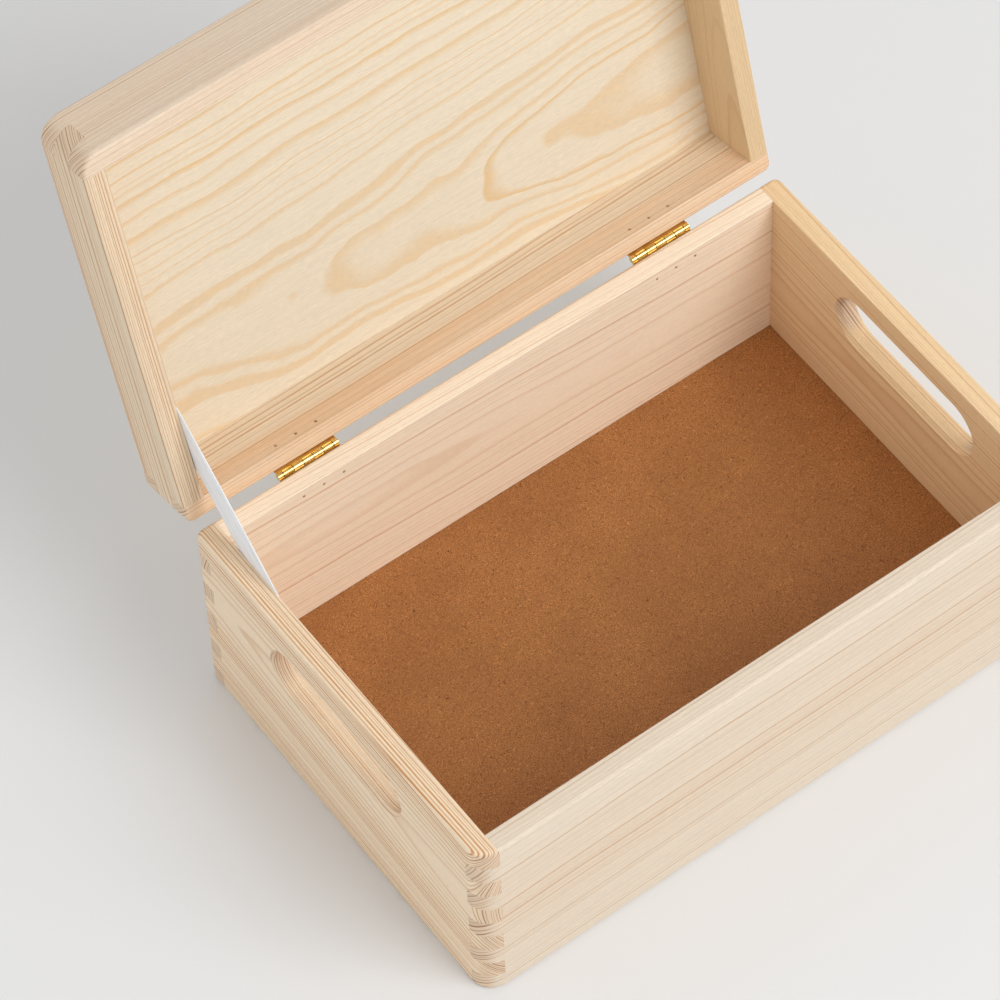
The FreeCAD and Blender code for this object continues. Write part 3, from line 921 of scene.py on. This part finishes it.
@dataclass(frozen=True)
class Lamp:
    """A square soft box that faces a point.

    Attributes:
        azimuth: Degrees round from the front towards the right.
        elevation: Degrees above the floor.
        distance: From the point, in metres.
        size: Edge of the square.
        power: Watts.
        tint: Colour of its light.
    """

    azimuth: float
    elevation: float
    distance: float
    size: float
    power: float
    tint: Colour = (1.0, 1.0, 1.0)

    def build(self, name: str, target: Vector) -> None:
        """Adds the lamp.

        Args:
            name: The lamp's name.
            target: The point that it faces.
        """
        data = bpy.data.lights.new(name, "AREA")
        data.shape = "SQUARE"
        data.size = self.size
        data.energy = self.power
        data.color = self.tint
        lamp = bpy.data.objects.new(name, data)
        bpy.context.scene.collection.objects.link(lamp)
        turn, lift = math.radians(self.azimuth), math.radians(self.elevation)
        away = Vector((math.sin(turn) * math.cos(lift), -math.cos(turn) * math.cos(lift), math.sin(lift)))
        lamp.location = target + away * self.distance
        lamp.rotation_euler = away.to_track_quat("Z", "Y").to_euler()


@dataclass(frozen=True)
class Studio:
    """A pale floor, soft lamps and a sky that is brighter behind the box.

    Attributes:
        key: The main lamp.
        fill: The cool lamp on the left.
        front_sky: Strength of the sky in front.
        back_sky: Strength of the sky behind.
        sky_turn: Where the sky changes, from -1 in front to 1 behind.
        floor_size: Edge of the floor, in metres.
        floor_pale: Colour of the floor.
        floor_shade: Colour of its faint clouds.
        middle: Point that the lamps face, in metres.
    """

    key: Lamp = Lamp(azimuth=21, elevation=41, distance=2.8, size=1.8, power=48)
    fill: Lamp = Lamp(azimuth=-85, elevation=12, distance=2.6, size=1.0, power=10, tint=(0.82, 0.92, 1.0))
    front_sky: float = 0.52
    back_sky: float = 0.8
    sky_turn: tuple[float, float] = (-0.3, 0.7)
    floor_size: float = 12.0
    floor_pale: Colour = srgb(232, 232, 232)
    floor_shade: Colour = srgb(229, 229, 229)
    middle: tuple[float, float, float] = (0.0, 0.0, 0.1)

    def build(self) -> None:
        """Adds the floor, the lamps and the sky."""
        mesh = bmesh.new()
        bmesh.ops.create_grid(mesh, x_segments=4, y_segments=4, size=self.floor_size / 2)
        data = bpy.data.meshes.new("studio_floor")
        mesh.to_mesh(data)
        mesh.free()
        floor = bpy.data.objects.new("studio_floor", data)
        bpy.context.scene.collection.objects.link(floor)
        material, graph, shader = new_material("painted_floor")
        cloud = graph.noise(graph.node("TexCoord").outputs["Object"], 3.0).outputs[0]
        graph.feed(shader.inputs["Base Color"], graph.mix(cloud, self.floor_pale, self.floor_shade))
        shader.inputs["Roughness"].default_value = 0.55
        floor.data.materials.append(material)
        self.key.build("key_light", Vector(self.middle))
        self.fill.build("fill_light", Vector(self.middle))
        world = bpy.data.worlds.new("studio_sky")
        world.use_nodes = True
        sky = Graph(world.node_tree)
        rearward = sky.split(sky.node("TexCoord").outputs["Generated"])[1]
        background = world.node_tree.nodes["Background"]
        background.inputs["Color"].default_value = (1.0, 1.0, 1.0, 1.0)
        strength = sky.fade(rearward, *self.sky_turn, self.front_sky, self.back_sky)
        sky.feed(background.inputs["Strength"], strength)
        bpy.context.scene.world = world
        bpy.context.scene.view_settings.view_transform = "Standard"


# Assembly

# Each board's pale is partly its own tone and partly painted light: the back board is lightened and the front
# board darkened for how they are lit. The right board's honey is partly painted warm light bounced into its
# shade.
BOX_FIGURES = {
    Side.FRONT: Figure(pith=(118, -56), drift=(0.02, 0.0), ring=1.8, waver=1.8, even=0.35, bold=0.7,
                       zone=(60, 40), blush=0.25, pale=0.9, seed=1.3),
    Side.RIGHT: Figure(pith=(50, -75), drift=(0.02, 0.0), ring=1.2, waver=1.2, even=0.5, bold=0.75, flat=0.7,
                       blush=0.3, honey=0.8, pale=1.08, seed=2.7),
    Side.BACK: Figure(pith=(66, -64), drift=(0.05, 0.0), ring=1.3, waver=1.6, even=0.4, bold=0.75, flat=0.7,
                      zone=(58, 20), blush=0.12, honey=0.1, pale=1.18, seed=3.1),
    Side.LEFT: Figure(pith=(68, -60), drift=(-0.04, 0.02), ring=1.15, share=0.42, waver=0.7, even=0.8,
                      bold=1.4, blush=0.1, honey=0.35, pale=1.06, seed=4.9),
}
# As in the box, pale is partly painted light. The right board's honey is partly painted warm bounced light in
# its shade.
LID_FIGURES = {
    Side.FRONT: Figure(pith=(-30, -34), drift=(0.0, 0.01), ring=1.3, waver=0.8, even=0.4, bold=0.8,
                       zone=(16, 40), blush=0.4, pale=0.95, seed=5.3),
    Side.RIGHT: Figure(pith=(5, -60), drift=(0.01, 0.02), ring=1.1, waver=1.0, even=0.4, bold=0.7,
                       blush=0.2, honey=0.8, pale=0.91, seed=6.2),
    Side.BACK: Figure(pith=(42, -58), drift=(0.0, 0.01), ring=1.0, waver=0.8, even=0.4, bold=1.0,
                      zone=(5, 9), blush=1.0, honey=0.2, pale=1.03, seed=7.7),
    Side.LEFT: Figure(pith=(-15, -75), drift=(0.01, 0.0), ring=1.1, waver=1.0, even=0.6, bold=1.6,
                      blush=0.1, honey=0.35, pale=0.96, seed=8.4),
}
# The panel's pale is partly painted light, darkening it where the main lamp falls strongly.
PANEL_FIGURE = Figure(pith=(52, -62), drift=(0.0, 0.045), ring=4.6, share=0.33, waver=4.5, swell=60,
                      even=0.65, bold=0.8, flat=1.0, blush=0.0, pale=0.96, seed=9.1)
VENEER = Pine(early=srgb(241, 226, 201), late=srgb(234, 194, 134))
BRASS = Metal(srgb(236, 206, 138), srgb(216, 178, 102), srgb(58, 36, 14), polish=0.16, wear=0.24)
STEEL = Metal(srgb(172, 134, 92), srgb(126, 94, 62), srgb(96, 68, 44), polish=0.45, wear=0.6)


def middle_of(name: str) -> Vector:
    """Finds the middle of a CAD node.

    Args:
        name: The node.

    Returns:
        The middle of its bounds, in metres.
    """
    low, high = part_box(name)
    return (low + high) / 2


@dataclass
class WoodenBox:
    """The whole object, on its CAD nodes.

    Attributes:
        nodes: The CAD objects by name.
        shut: The way from the open lid, as the row frame has it, to the shut one.
    """

    nodes: dict[str, bpy.types.Object]
    shut: Matrix

    def lowest_shut(self, name: str) -> float:
        """Finds how high a piece of the lid lies when that is shut.

        Args:
            name: The node.

        Returns:
            Height of its lowest point, in metres.
        """
        return min((self.shut @ vertex.co).z for vertex in self.nodes[name].data.vertices)

    def dress_boards(self) -> None:
        """Gives the walls, the lid's panel and the bottom their finishes."""
        front_low, front_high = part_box("front_wall")
        back_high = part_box("back_wall")[1]
        half_length = front_high.x
        half_depth = (back_high.y - front_low.y) / 2
        middle = Vector((0.0, (back_high.y + front_low.y) / 2, 0.0))
        lid_foot = self.lowest_shut("lid_left_wall")
        box = Tray("", Matrix.Identity(4), 0.0, half_length, half_depth, middle, BOX_FIGURES)
        lid = Tray("lid_", self.shut, lid_foot, half_length, half_depth, middle, LID_FIGURES)
        pine = Pine()
        group = pine.figure_group()
        for tray in (box, lid):
            tray.dress(self.nodes, pine, group)
        lift = Matrix.Translation((0.0, half_depth, self.lowest_shut("lid_panel")))
        turned_over = lift @ Matrix.Rotation(math.pi, 4, "X") @ Matrix.Translation(-middle)
        into_panel = Matrix.Scale(1.0 / MM, 4) @ turned_over @ self.shut
        finish = VENEER.material("lid_veneer", VENEER.figure_group(), into_panel, PANEL_FIGURE)
        cover(self.nodes["lid_panel"], finish)
        cover(self.nodes["bottom_panel"], Hardboard().material("brown_hardboard"))

    def dress_metal(self) -> None:
        """Gives the hinges, nails and staples their finishes."""
        brass = {}
        for side in ("left", "right"):
            knuckles = Knuckles(middle_of(f"{side}_hinge_pin") / MM)
            brass[side] = BRASS.material(f"{side}_hinge_brass", knuckles)
        steel = STEEL.material("wire_steel")
        for name, node in self.nodes.items():
            if "hinge_nails" in name or "staple" in name:
                cover(node, steel)
            elif "hinge" in name:
                cover(node, brass[name.split("_")[0]])

    def hang_stay(self) -> None:
        """Hangs the tape between its staples, on the wall side of the CAD's."""
        lower, upper = middle_of("box_ribbon_staple"), middle_of("lid_ribbon_staple")
        lower.x = upper.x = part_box("stay_ribbon")[0].x
        stay = Stay(lower, upper)
        stay.dress(stay.build(), Tape())
        LOG.info("the tape is %.1f mm long", stay.length / MM)


def main() -> None:
    """Builds the scene."""
    logging.basicConfig(level=logging.INFO, format="%(name)s: %(message)s")
    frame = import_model()
    joint = frame["joints"][0]
    hinge = Vector(joint["pos_m"])
    swing = Matrix.Rotation(math.radians(joint["range_deg"][1]), 4, "X")
    shut = Matrix.Translation(hinge) @ swing @ Matrix.Translation(-hinge)
    box = WoodenBox(frame["nodes"], shut)
    box.dress_boards()
    box.dress_metal()
    box.hang_stay()
    Studio().build()
    View().build()

    LOG.info("dressed %d nodes", len(box.nodes))


if __name__ == "__main__":
    main()
